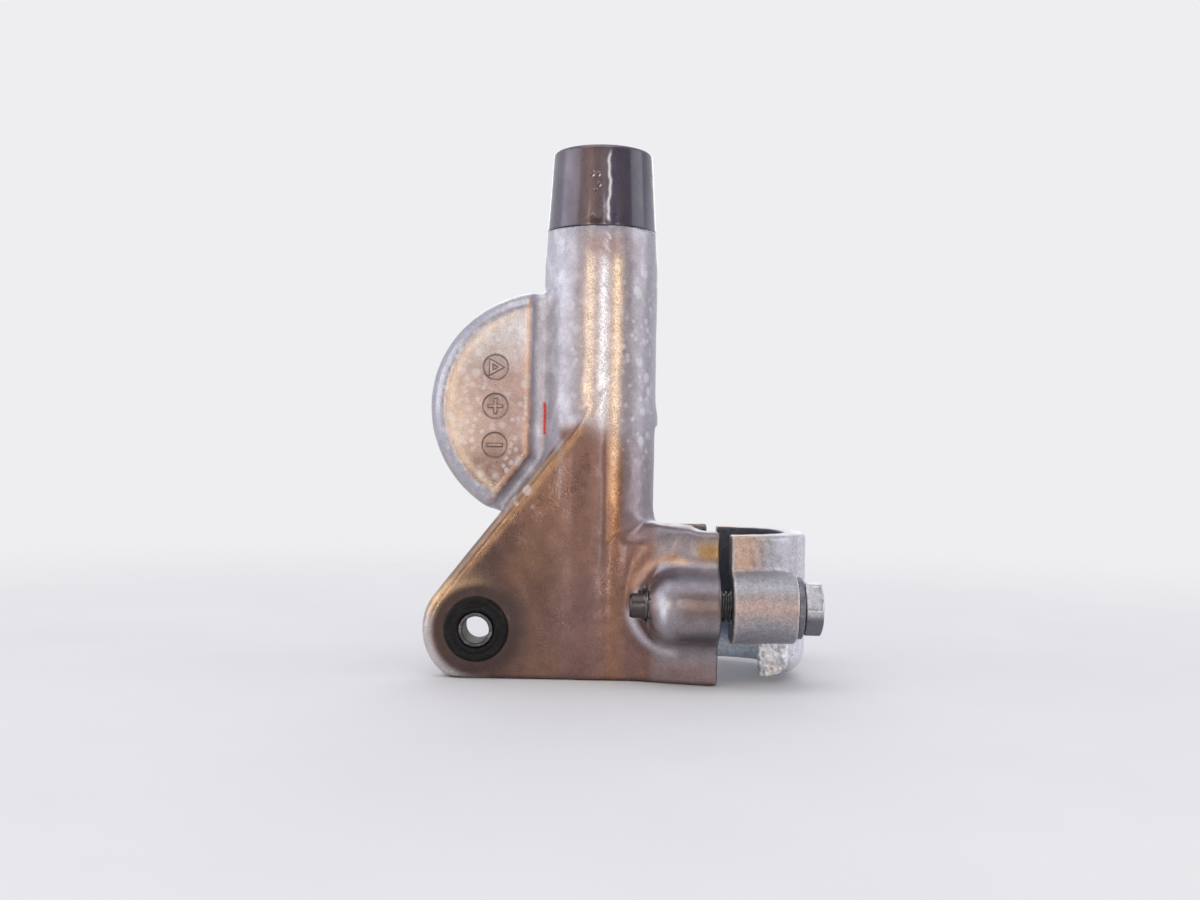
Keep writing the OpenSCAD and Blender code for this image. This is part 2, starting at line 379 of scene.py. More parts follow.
def field_mesh(field, low, high, step):
    """Points on the field's zero level and the quads between them, of its largest piece."""
    points, quads = surface_net(field, low, high, step)
    points, quads = compact(points, largest_part(len(points), quads))
    return settle(field, points, step), quads


def field_normals(field, points):
    normals = gradient(field, points)
    return normals / np.maximum(np.linalg.norm(normals, axis=1), 1e-6)[:, None]


def new_object(name, points, faces, body, nodes, material, normals=None):
    """A mesh object in metres from points in mm, riding on a body and standing for CAD nodes."""
    mesh = bpy.data.meshes.new(name)
    faces = [list(map(int, f)) for f in faces]
    mesh.from_pydata((np.asarray(points) * MM).tolist(), [], faces)
    mesh.validate()
    mesh.polygons.foreach_set("use_smooth", [True] * len(mesh.polygons))
    mesh.update()
    if normals is not None:
        mesh.normals_split_custom_set_from_vertices(normals.tolist())
    obj = bpy.data.objects.new(name, mesh)
    bpy.context.scene.collection.objects.link(obj)
    mesh.materials.append(material)
    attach(obj, body)
    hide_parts(*nodes)
    return obj


def add_values(obj, **layers):
    """Named values at the object's points, which its material reads."""
    for name, values in layers.items():
        values = np.asarray(values, np.float32)
        kind = "FLOAT_VECTOR" if values.ndim == 2 else "FLOAT"
        layer = obj.data.attributes.new(name, kind, "POINT")
        layer.data.foreach_set("vector" if kind == "FLOAT_VECTOR" else "value", values.ravel())


# ---- material tools
class Nodes:
    """Short calls for building one material's nodes."""

    def __init__(self, name):
        self.material = bpy.data.materials.new(name)
        self.material.use_nodes = True
        self.tree = self.material.node_tree
        self.tree.nodes.clear()
        self.shader = self.add("BsdfPrincipled")
        self.put(self.add("OutputMaterial").inputs[0], self.shader.outputs[0])
        self.place = self.scaled(self.add("TexCoord").outputs["Object"], 1 / MM)

    def add(self, kind):
        return self.tree.nodes.new("ShaderNode" + kind)

    def put(self, socket, value):
        """Links or sets a socket; three numbers for a colour are its display values."""
        if isinstance(value, bpy.types.NodeSocket):
            self.tree.links.new(value, socket)
        elif isinstance(value, (tuple, list)) and len(value) == 3 and len(socket.default_value) == 4:
            socket.default_value = (*linear(*value), 1)
        else:
            socket.default_value = value

    def set(self, **values):
        for name, value in values.items():
            self.put(self.shader.inputs[name.replace("_", " ")], value)

    def times(self, *values):
        result = values[0]
        for value in values[1:]:
            result = self.math("MULTIPLY", result, value)
        return result

    def plus(self, a, b):
        return self.math("ADD", a, b)

    def math(self, op, a, b):
        n = self.add("Math")
        n.operation = op
        self.put(n.inputs[0], a)
        self.put(n.inputs[1], b)
        return n.outputs[0]

    def mix(self, amount, a, b):
        n = self.add("Mix")
        n.data_type = "RGBA"
        self.put(n.inputs["Factor"], amount)
        self.put(n.inputs[6], a)
        self.put(n.inputs[7], b)
        return n.outputs[2]

    def span(self, value, a, b, low=0.0, high=1.0):
        n = self.add("MapRange")
        n.interpolation_type = "SMOOTHSTEP"
        for i, v in enumerate((value, a, b, low, high)):
            self.put(n.inputs[i], v)
        return n.outputs[0]

    def noise(self, size, detail=3.0, rough=0.55, where=None):
        n = self.add("TexNoise")
        self.put(n.inputs["Vector"], where or self.place)
        n.inputs["Scale"].default_value = 1 / size
        n.inputs["Detail"].default_value = detail
        n.inputs["Roughness"].default_value = rough
        return n.outputs["Fac"]

    def cells(self, size):
        """Distance to the nearest of scattered points."""
        n = self.add("TexVoronoi")
        self.put(n.inputs["Vector"], self.place)
        n.inputs["Scale"].default_value = 1 / size
        return n.outputs["Distance"]

    def stretched(self, x, y, z):
        n = self.add("VectorMath")
        n.operation = "MULTIPLY"
        self.put(n.inputs[0], self.place)
        n.inputs[1].default_value = (x, y, z)
        return n.outputs[0]

    def scaled(self, colour, factor):
        n = self.add("VectorMath")
        n.operation = "SCALE"
        self.put(n.inputs[0], colour)
        self.put(n.inputs["Scale"], factor)
        return n.outputs[0]

    def values(self, name, kind="Vector"):
        n = self.add("Attribute")
        n.attribute_name = name
        return n.outputs[kind]

    def bump(self, height, distance, strength=1.0):
        n = self.add("Bump")
        n.inputs["Strength"].default_value = strength
        n.inputs["Distance"].default_value = distance * MM
        self.put(n.inputs["Height"], height)
        self.put(self.shader.inputs["Normal"], n.outputs[0])


def linear(r, g, b):
    """Linear colour from a display colour of 0 to 255."""
    out = []
    for v in (r, g, b):
        v = v / 255
        out.append(v / 12.92 if v <= 0.04045 else ((v + 0.055) / 1.055) ** 2.4)
    return tuple(out)


class Paint:
    """Colours at points, laid on one over the other."""

    def __init__(self, count, colour):
        self.rgb = np.tile(np.array(linear(*colour)), (count, 1))

    def over(self, mask, colour):
        m = np.clip(mask, 0, 1)[:, None]
        self.rgb = self.rgb * (1 - m) + np.array(linear(*colour)) * m


# ---- castings: colours by place
def paint_bore(paint, bore, z):
    """The machined bore: grey, with painted light low down: lighter and bluer, and a painted highlight
    band near the lower edge.
    """
    paint.over(bore, (84, 86, 96))
    paint.over(bore * ramp(21, 10, z), (118, 136, 166))
    paint.over(bore * bell(z, 4.6, 3.2), (240, 248, 255))


def body_colours(p, n):
    """The casting's tint, its speckle strength, roughness and metal share, at each point."""
    x, y, z = p.T
    soft = waves(x, y, z, 14, 41)
    fine = waves(x, y, z, 5, 42)
    across = x - POST_X
    paint = Paint(len(p), (176, 174, 184))
    over = paint.over
    over(0.35 + 0.3 * soft, (160, 156, 168))
    # the post: lavender flanks; painted shade as a dark stripe on the right flank, painted reflections
    # as pale bands on the left flank and a warm band over the crest, and painted highlights: silver on
    # the crest with gold beside it
    from_post = np.hypot(x - POST_X, y - POST_Y)
    on_post = ramp(POST_R + 1.2, POST_R + 0.3, from_post) * ramp(-0.2, -2.5, y)
    high = ramp(60, 70, z + 1.2 * soft)
    warm = ramp(118, 113, z) * on_post
    # a painted warm reflection over the crest
    band = bell(across, 0.6, 7.2) * warm
    over(0.55 * band * high, (186, 150, 138))
    # painted shade on the right flank, then painted reflections as pale bands on the left flank
    over(0.85 * bell(across, 9.8, 3.4) * warm, (144, 137, 142))
    over(0.4 * bell(across, -12.6, 2.4) * warm * ramp(76, 90, z), (210, 209, 220))
    over(0.5 * bell(across, -6.6, 1.8) * warm, (190, 188, 196))
    # painted highlights: silver on the crest, gold either side of it
    ends = ramp(113, 107, z + fine)
    gold_reflection_left = bell(across, -2.6, 1.15) * ends * ramp(63, 76, z)
    gold_reflection_right = bell(across, 4.3, 1.2) * ends
    silver_highlight = bell(across, 0.9, 1.5) * ends * ramp(60, 72, z)
    over(0.95 * silver_highlight * warm, (226, 224, 228))
    over(0.95 * gold_reflection_left * warm, (236, 220, 204))
    over(0.95 * gold_reflection_right * warm * (0.5 + 0.5 * high), (236, 214, 190))
    # a painted highlight line below the seam, carrying on the one down the dark end
    highlight_line = bell(across, 1.5 + 0.5 * np.sin(z * 1.6), 0.32)
    highlight_line = highlight_line * ramp(110.5, 111.5, z) * ramp(116.6, 115.8, z)
    over(0.8 * highlight_line * ramp(-12, -15, y), (240, 240, 244))
    # the back carries the same amber lacquer, thinner towards the top
    back = ramp(-3, 5, y)
    broad = waves(x, y, z, 34, 44)
    over(back * (0.3 + 0.3 * broad + 0.1 * soft), (172, 142, 126))
    over(back * ramp(66, 24, z + 6 * broad) * 0.6, (140, 110, 98))
    over(back * ramp(0.5, 1.1, broad + 0.4 * fine) * 0.4, (206, 178, 150))
    # the web and the foot of the post: brown lacquer, partly a painted warm reflection on the faces
    # toward the front
    past_crest = np.clip(across + 5, 0, 14)
    top = 68.4 - 0.2 * past_crest + 0.5 * soft
    in_web = ramp(-12.0, -14.0, y) * ramp(0, 1, (top - z) / (5.5 + 0.5 * past_crest))
    right = ramp(4, 11, across) * ramp(30, 44, z)
    # brown lacquer and a painted warm reflection over the front of the web
    lacquer_and_warm_reflection = in_web * (1 - 0.75 * right) * ramp(-9, -15, x)
    over(lacquer_and_warm_reflection, (134, 98, 80))
    over(lacquer_and_warm_reflection * ramp(46, 22, z) * 0.8, (114, 86, 80))
    over(lacquer_and_warm_reflection * ramp(-40, -47, x) * bell(z, 28, 13) * 0.85, (80, 58, 54))
    over(lacquer_and_warm_reflection * (0.22 + 0.3 * soft), (140, 104, 80))
    over(lacquer_and_warm_reflection * ramp(-46, -38, x) * 0.5, (128, 98, 94))
    # painted shade low on the post's right flank
    shaded_flank = on_post * ramp(68, 56, z) * ramp(5, 9, across)
    over(0.85 * shaded_flank, (138, 124, 130))
    # painted reflections down the crest into the web: gold stripes, paler higher up, and a darker stripe
    # beside them
    low_gold_reflection = bell(across, 4.4, 1.7 + 0.6 * ramp(40, 20, z)) * in_web
    over((0.45 + 0.4 * ramp(28, 42, z)) * low_gold_reflection, (150, 104, 68))
    over(0.7 * ramp(40, 52, z) * bell(across, 4.0, 1.2) * in_web, (218, 178, 144))
    over(0.8 * ramp(52, 62, z) * bell(across, 4.2, 1.2) * in_web, (234, 208, 182))
    over(0.5 * bell(across, 1.2, 1.4) * in_web * ramp(20, 34, z), (96, 72, 70))
    # the web's slanting side and the ring round the eye
    slope = slant_distance(x, z)
    rim = ramp(-3.4, -1.2, slope) * ramp(-6, -10, y) * ramp(64, 56, z)
    rim = rim * ramp(POST_X + 4, POST_X - 2, x)
    over(0.75 * rim, (150, 124, 104))
    # a painted gold highlight along the slanting edge
    over(0.6 * bell(slope, -3.0, 0.6) * in_web * ramp(20, 30, z), (204, 160, 118))
    eye = np.hypot(x - EYE_X, z - EYE_Z)
    near = ramp(17.5, 10.5, eye + soft) * ramp(-9, -13, y)
    over(0.95 * near, (84, 64, 58))
    over(0.6 * bell(eye, 10.2, 1.8) * ramp(-14, -16, y), (66, 50, 47))
    nose = np.hypot(x - NOSE_X, z - NOSE_Z) - NOSE_R
    nose_rim = ramp(-3.6, -1.6, nose) * ramp(-0.2, 0.6, (NOSE_X + 3 - x) / 8)
    nose_rim = nose_rim * ramp(-4, -9, y) * ramp(40, 20, z)
    over(nose_rim * ramp(22, 12, z), (196, 188, 190))
    # a painted gold highlight on the nose's rim
    over(nose_rim * bell(z, 21, 5) * 0.9, (212, 176, 138))
    # the lug: grey rim, then gold, lavender and copper over its face, with painted highlights along its
    # edges
    lug = ramp(-9.2, -11.6, y) * ramp(LUG_EDGE_X + 1.6, LUG_EDGE_X + 0.2, x) * ramp(40, 46, z)
    edge = lug_edge_distance(x, z)
    disc = np.hypot(x - LUG_X, z - LUG_Z) - LUG_R
    lug = lug * ramp(0.8, -0.6, edge)
    face = lug * ramp(-3.2, -4.6, disc)
    over(lug, (180, 178, 188))
    over(face, (180, 154, 146))
    over(face * ramp(-60, -72, x + 0.35 * (z - 70)) * 0.9, (218, 194, 178))
    over(face * ramp(76, 92, z + soft) * 0.95, (212, 208, 210))
    over(face * ramp(68, 50, z + 2 * soft) * 0.95, (152, 122, 112))
    over(face * ramp(62, 52, z) * 0.45, (122, 94, 84))
    over(face * np.maximum(fine, 0) * 0.25, (204, 176, 158))
    # painted highlights: a gold line along the raised face's edge and a pale one inside its left border
    over(0.55 * lug * bell(edge, -1.2, 0.6) * ramp(-0.6, -1.8, disc), (232, 186, 152))
    over(0.6 * lug * bell(disc, -5.1, 1.0) * ramp(-52, -62, x), (236, 214, 192))
    # the trough, its pale lavender a painted reflection, with its red paint
    trough = ramp(-1.0, 0.8, edge) * ramp(-4, -7, y) * ramp(POST_R + 3.5, POST_R + 1.5, from_post)
    trough = trough * ramp(44, 50, z) * ramp(LUG_EDGE_X - 6, LUG_EDGE_X, x)
    trough = trough * ramp(-41.5, -43.5, x)
    gap = ramp(-0.6, 0.8, edge) * ramp(-1.0, 0.6, slope) * ramp(-3, -6, y)
    gap = gap * ramp(2.0, 0.5, disc) * ramp(-44, -47, x)
    trough = np.maximum(trough, gap)
    # painted reflection: the trough pale
    over(0.9 * trough, (190, 188, 200))
    over(0.5 * trough * ramp(0.1, 0.6, fine), (222, 222, 230))
    height = np.clip(1 - ((z - 67.6) / 4.4) ** 2, 0, 1)
    red = ramp(0.42, 0.12, np.abs(x + 47.35 - 0.25 * (1 - height) + 0.1 * fine) - 0.2 * height)
    red = red * ramp(0.02, 0.12, height) * ramp(-4.5, -6.5, y)
    over(red, (214, 66, 56))
    # the clamp: grey with gold patches; painted reflections, shade and highlights on the boss, the dome
    # and their fillets
    clamp = ramp(-19.5, -15.5, x) * ramp(-16.6, -18.2, y)
    clamp = np.maximum(clamp, ramp(-17, -14, x) * ramp(-2, -8, y) * ramp(JAW_H - 3.5, JAW_H - 1, z))
    over(clamp, (150, 142, 148))
    # painted reflection: the left end by the dome lighter
    over(clamp * ramp(-12.5, -15.5, x) * bell(z, BOLT_Z, 9) * 0.6, (176, 176, 188))
    over(clamp * ramp(JAW_H - 4, JAW_H - 1.5, z) * 0.8, (128, 120, 126))
    over(clamp * bell(z, 34.0, 2.6) * ramp(-8.5, -5.0, x), (170, 134, 84))
    # painted reflection and shade on the boss: a copper reflection across its middle, darker top and
    # bottom
    over(clamp * bell(z, BOLT_Z + 1, 3.4) * ramp(-14, -10, x) * 0.9, (104, 79, 71))
    over(clamp * bell(z, BOLT_Z + 7.5, 2.4) * ramp(-17, -13, x) * 0.8, (104, 98, 108))
    over(clamp * bell(z, BOLT_Z - 7.5, 2.2) * ramp(-15, -10, x) * 0.8, (80, 77, 87))
    over(clamp * ramp(8, 3.5, z) * 0.85, (136, 112, 112))
    # a painted highlight along the fillet over the boss
    over(bell(x, -12, 3) * bell(z, 31.6, 0.9) * ramp(-16, -18, y) * 0.8, (226, 188, 150))
    dome = np.hypot(x - DOME_X, z - BOLT_Z)
    on_dome = ramp(-17.6, -19.0, y) * ramp(-11, -13, x)
    glint = bell(x, -15.9, 0.85) * bell(z, BOLT_Z - 0.2, 2.8)
    over(glint * ramp(-17.6, -19, y), (242, 244, 252))
    # painted shade: a dark arc over the dome's top
    over(bell(dome, 8.6, 1.3) * ramp(BOLT_Z + 1, BOLT_Z + 5, z) * on_dome * 0.7, (84, 78, 88))
    # painted reflection in the fillet round the dome: pale below, gold above
    fillet_reflection = bell(dome, 12.4, 1.1) * ramp(-16.2, -17.4, y) * ramp(-10, -14, x)
    over(fillet_reflection * ramp(BOLT_Z, BOLT_Z - 4, z) * 0.9, (206, 202, 212))
    over(fillet_reflection * ramp(BOLT_Z + 2, BOLT_Z + 6, z) * 0.7, (190, 146, 118))
    # machined and cut faces
    radius = np.hypot(x, y)
    bore = ramp(BORE_R + 0.8, BORE_R + 0.15, radius) * ramp(JAW_H + 0.6, JAW_H, z)
    paint_bore(paint, bore, z)
    # painted shade on the slit's faces
    slit = ramp(-HALF_SLIT - 0.5, -HALF_SLIT - 0.1, x) * (1 - bore)
    over(slit * 0.85, (78, 73, 75))
    foot = ramp(0.6, 0.1, z) * ramp(0.5, 0.9, -n[:, 2])
    over(foot * 0.8, (120, 104, 98))
    chipped = ramp(6.0, 4.8, bolt_distance(y, z) + 0.4 * fine)
    chipped = chipped * ramp(-16.6, -17.8, x) * ramp(-24.5, -22.5, x)
    over(chipped * ramp(-17.4, -18.4, y) * 0.9, (150, 146, 150))
    over(chipped * ramp(0.0, 0.5, waves(x, y, z, 1.6, 43)) * 0.8, (60, 52, 50))
    # the speckle of the sand casting, and how rough each place is
    speckle = 0.35 + 0.65 * np.clip(gold_reflection_left + gold_reflection_right + silver_highlight, 0, 1) * warm
    rough = 0.36 + 0.05 * soft - 0.05 * lacquer_and_warm_reflection + 0.06 * bore
    metal = 0.72 - 0.62 * bore - 0.42 * trough * (1 - bore)
    return paint.rgb, speckle, rough, metal


def cap_colours(p):
    """The cap's tint, where it is broken, its roughness and its metal share, at each point."""
    x, y, z = p.T
    soft = waves(x, y, z, 9, 51)
    fine = waves(x, y, z, 3, 52)
    boss = ramp(BOSS_R + 0.6, BOSS_R - 0.2, bolt_distance(y, z))
    paint = Paint(len(p), (180, 179, 186))
    over = paint.over
    # warmer toward the slit, partly a painted warm reflection
    over(0.85 * ramp(13, 5, x + 0.8 * soft) * (1 - boss), (198, 168, 150))
    over(np.maximum(fine, 0) * 0.35 * (1 - boss), (150, 118, 104))
    # painted reflection and shade on the boss: a copper reflection across its middle, darker low down
    over(0.9 * boss, (164, 163, 168))
    over(boss * bell(z, BOLT_Z + 0.8, 2.9 + 0.5 * soft) * 0.85, (190, 158, 146))
    over(boss * ramp(BOLT_Z - 3, BOLT_Z - 7, z) * 0.8, (142, 138, 148))
    # painted reflection: lighter toward the right end and at its lower right corner
    over(ramp(12.5, 17.0, x) * (1 - boss) * 0.6, (204, 200, 210))
    over(ramp(19.0, 21.0, x) * 0.8, (218, 216, 224))
    over(ramp(12, 10, z) * ramp(17, 19, x) * 0.8, (228, 228, 238))
    # a painted highlight round the boss's end
    over(boss * ramp(CAP_BOSS_X - 0.7, CAP_BOSS_X - 0.1, x) * 0.7, (216, 216, 220))
    over(ramp(HALF_SLIT + 1.1, HALF_SLIT + 0.5, x) * ramp(-17, -18, y) * 0.7, (206, 202, 200))
    radius = np.hypot(x, y)
    bore = ramp(BORE_R + 0.8, BORE_R + 0.15, radius)
    paint_bore(paint, bore, z)
    # painted shade on the slit's face
    slit = ramp(HALF_SLIT + 0.4, HALF_SLIT + 0.1, x)
    over(slit * 0.8, (100, 96, 96))
    broken = ramp(0.95, 0.55, np.abs(break_distance(x, y, z)))
    broken = broken * ramp(JAW_R + 1.2, JAW_R, radius) * (1 - bore)
    broken = broken * ramp(12, 11.4, z) * ramp(-12, -15, y)
    over(broken, (238, 240, 246))
    over(broken * ramp(6, 3.5, z) * ramp(0.2, 1.0, fine) * 0.8, (176, 140, 104))
    rough = 0.42 + 0.06 * soft - 0.08 * bore
    metal = 0.75 - 0.65 * bore
    return paint.rgb, broken, rough, metal


# ---- castings: materials
def casting_material():
    m = Nodes("casting_lacquered")
    tint = m.values("tint")
    speckle = m.values("speckle", "Fac")
    # sand-cast grain shows as fine light and dark flecks under the lacquer
    grain = m.noise(0.42, 2.0, 0.7)
    fleck = m.span(grain, 0.34, 0.66, -1.0, 1.0)
    gain = m.times(m.times(fleck, speckle), 0.34)
    tone = m.plus(gain, 1.0)
    mottled = m.times(tone, m.span(m.noise(3.2, 5.0, 0.65), 0.3, 0.75, 0.86, 1.1))
    # pale round blotches where the lacquer has lifted
    ripple = m.times(m.noise(1.1, 1.0), 0.16)
    small = m.span(m.math("SUBTRACT", m.cells(2.2), ripple), 0.34, 0.12)
    large = m.span(m.math("SUBTRACT", m.cells(3.9), ripple), 0.36, 0.14)
    gate = m.noise(7, 1.0)
    small = m.times(small, m.span(gate, 0.38, 0.55))
    large = m.times(large, m.span(gate, 0.6, 0.42))
    dot = m.math("MAXIMUM", small, large)
    dot = m.times(dot, m.values("blotch", "Fac"))
    colour = m.mix(m.times(dot, 0.42), m.scaled(tint, mottled), (228, 228, 232))
    # a few dark stains
    stain = m.span(m.noise(2.2, 6.0, 0.7), 0.66, 0.74)
    colour = m.mix(m.times(stain, 0.45), colour, (82, 58, 46))
    m.set(Base_Color=colour, Metallic=m.values("metal", "Fac"), Coat_Weight=0.35, Coat_Roughness=0.16)
    rough = m.plus(m.values("rough", "Fac"), m.span(m.noise(2.6, 4.0), 0.3, 0.7, -0.05, 0.09))
    rough = m.plus(rough, m.times(dot, 0.14))
    m.set(Roughness=rough)
    height = m.plus(m.times(grain, 0.5), m.times(m.noise(1.6, 3.0), 0.7))
    m.bump(height, 0.07, 0.75)
    return m.material


def cap_material():
    m = Nodes("cap_casting_rough")
    tint = m.values("tint")
    broken = m.values("broken", "Fac")
    grain = m.noise(0.5, 3.0, 0.7)
    coarse = m.noise(1.3, 5.0, 0.7)
    tone = m.times(m.span(grain, 0.3, 0.7, 0.78, 1.16), m.span(coarse, 0.3, 0.7, 0.8, 1.12))
    stain = m.times(m.span(m.noise(1.9, 6.0, 0.72), 0.6, 0.7), m.math("SUBTRACT", 1.0, broken))
    colour = m.mix(m.times(stain, 0.55), m.scaled(tint, tone), (118, 84, 66))
    chips = m.times(m.cells(0.8), broken)
    facet = m.span(m.noise(0.7, 1.0), 0.42, 0.6)
    colour = m.mix(m.times(facet, broken, 0.6), colour, (246, 247, 250))
    m.set(Base_Color=colour, Metallic=m.values("metal", "Fac"), Coat_Weight=0.15, Coat_Roughness=0.25)
    m.set(Roughness=m.plus(m.values("rough", "Fac"), m.span(coarse, 0.3, 0.7, -0.06, 0.14)))
    shape = m.plus(m.times(coarse, 0.8), m.times(grain, 0.4))
    shape = m.plus(shape, chips)
    m.bump(shape, 0.16, 0.8)
    return m.material


# ---- the bracket's casting
def mark_depth(x, z):
    """Depth of the three recessed discs on the lug's face, with a plain raised sign in each."""
    total = np.zeros_like(x)
    u = x - MARK_X
    for sign_kind, mark_z in zip(("bar", "cross", "triangle"), MARK_ZS):
        v = z - mark_z
        depth = MARK_DEPTH * ramp(MARK_R + 0.2, MARK_R - 0.45, np.hypot(u, v))
        if sign_kind == "triangle":
            sign = np.maximum(-1.5 - u, (u * 0.58 + np.abs(v)) - 1.05)
            sign = np.abs(sign + 0.25) - 0.42
        elif sign_kind == "cross":
            level = np.maximum(np.abs(u) - 1.9, np.abs(v) - 0.36)
            sign = np.minimum(level, np.maximum(np.abs(v) - 1.9, np.abs(u) - 0.36))
        else:
            sign = np.maximum(np.abs(u) - 2.0, np.abs(v) - 0.4)
        total += depth * (1 - 0.8 * ramp(0.26, -0.2, sign))
    return total


def marked_field(x, y, z):
    return body_field(x, y - np.where(y < -10, mark_depth(x, z), 0.0), z)


def make_body():
    step = 0.66
    points, quads = field_mesh(body_field, body_low - 1.3, body_high + 1.3, step)
    # finer faces round the marks
    work = bmesh.new()
    verts = [work.verts.new(p) for p in points]
    for q in quads:
        try:
            work.faces.new([verts[i] for i in q])
        except ValueError:
            pass
    for _ in range(2):
        near = []
        for f in work.faces:
            c = f.calc_center_median()
            if c.y < -12.3 and abs(c.x - MARK_X) < MARK_R + 0.7:
                if min(math.hypot(c.x - MARK_X, c.z - mark_z) for mark_z in MARK_ZS) < MARK_R + 0.7:
                    near.append(f)
        edges = list({e for f in near for e in f.edges})
        bmesh.ops.subdivide_edges(work, edges=edges, cuts=1, use_grid_fill=True)
    bmesh.ops.triangulate(work, faces=[f for f in work.faces if len(f.verts) > 4])
    work.verts.index_update()
    points = np.array([v.co for v in work.verts])
    faces = [[v.index for v in f.verts] for f in work.faces]
    work.free()
    points = settle(body_field, points, step, 2)
    marks = np.where(points[:, 1] < -12, mark_depth(points[:, 0], points[:, 2]), 0.0)
    points[:, 1] += marks
    normals = field_normals(marked_field, points)
    obj = new_object("bracket_casting", points, faces, "bracket", ["bracket_body"],
                     casting_material(), normals)
    tint, speckle, rough, metal = body_colours(points, normals)
    x, y, z = points.T
    # painted shade: darker in the recessed discs, and much darker on their steep walls
    recess_shade = np.clip(marks / MARK_DEPTH, 0, 1)
    reach = 0.06
    slope_x = mark_depth(x + reach, z) - mark_depth(x - reach, z)
    slope_z = mark_depth(x, z + reach) - mark_depth(x, z - reach)
    slope = np.hypot(slope_x, slope_z) / (2 * reach)
    wall = np.clip(slope * np.where(y < -12, 1.0, 0.0) * 0.8, 0, 1)
    tint = tint * (1 - 0.14 * recess_shade[:, None] - 0.46 * wall[:, None])
    blotch = ramp(-6, -10, y) * ramp(60, 72, z + 0.9 * (x - POST_X)) * ramp(112, 100, z)
    blotch = blotch * (1 - 0.75 * bell(x - POST_X, 1.0, 4.5))
    blotch = np.maximum(blotch, ramp(-11, -12.5, y) * ramp(-48, -51, x) * ramp(40, 46, z))
    for mark_z in MARK_ZS:
        blotch = blotch * ramp(MARK_R + 0.2, MARK_R + 1.2, np.hypot(x - MARK_X, z - mark_z))
    add_values(obj, tint=tint, speckle=speckle, rough=rough, metal=metal, blotch=blotch)


def make_cap():
    step = 0.46
    points, quads = field_mesh(cap_field, cap_low - 1.0, cap_high + 1.0, step)
    normals = field_normals(cap_field, points)
    obj = new_object("cap_casting", points, quads, "cap", ["clamp_cap"],
                     cap_material(), normals)
    tint, broken, rough, metal = cap_colours(points)
    add_values(obj, tint=tint, broken=broken, rough=rough, metal=metal)


# ---- lathed and swept pieces
def axis_frame(origin, axis):
    """Rows: two cross directions and the axis. Angle 0 points to -Y, or to +X for a Y axis."""
    axis = np.array(axis, float)
    first = np.array([0, -1, 0]) if abs(axis[1]) < 0.5 else np.array([1.0, 0, 0])
    second = np.cross(axis, first)
    return np.array(origin, float), np.array([first, second, axis])


def swept(rows, segments, place, closed):
    """Points and quads of rings; rows is a function list giving (radius, height) for the angles."""
    origin, axes = place
    angles = np.arange(segments) * 2 * math.pi / segments
    rings = []
    for row in rows:
        r, h = row(angles)
        r = np.broadcast_to(r, angles.shape)
        h = np.broadcast_to(h, angles.shape)
        local = np.stack([r * np.cos(angles), r * np.sin(angles), h], 1)
        rings.append(origin + local @ axes)
    points = np.concatenate(rings)
    quads = []
    count = len(rings)
    for i in range(count if closed else count - 1):
        a = i * segments
        b = ((i + 1) % count) * segments
        for j in range(segments):
            k = (j + 1) % segments
            quads.append((a + j, a + k, b + k, b + j))
    if not closed:
        for ring, flip in ((0, True), (count - 1, False)):
            order = [ring * segments + j for j in range(segments)]
            quads.append(order[::-1] if flip else order)
    return points, quads


def plain(profile):
    return [lambda a, r=r, h=h: (r, h) for r, h in profile]


def rounded_profile(corners, radius, steps=4):
    """A closed (radius, height) profile with each corner rounded."""
    out = []
    count = len(corners)
    for i in range(count):
        p = np.array(corners[i - 1], float)
        c = np.array(corners[i], float)
        q = np.array(corners[(i + 1) % count], float)
        a = (p - c) / np.linalg.norm(p - c)
        b = (q - c) / np.linalg.norm(q - c)
        cut = min(radius, 0.45 * np.linalg.norm(p - c), 0.45 * np.linalg.norm(q - c))
        start, end = c + a * cut, c + b * cut
        for t in np.linspace(0, 1, steps + 1):
            out.append(tuple((1 - t) ** 2 * start + 2 * t * (1 - t) * c + t * t * end))
    return out


def filled_rows(profile, gap):
    """The profile with points added so that no side is longer than the gap."""
    out = []
    for i, p in enumerate(profile):
        q = profile[(i + 1) % len(profile)]
        n = max(1, int(math.ceil(math.dist(p, q) / gap)))
        out += [(p[0] + (q[0] - p[0]) * t / n, p[1] + (q[1] - p[1]) * t / n) for t in range(n)]
    return out


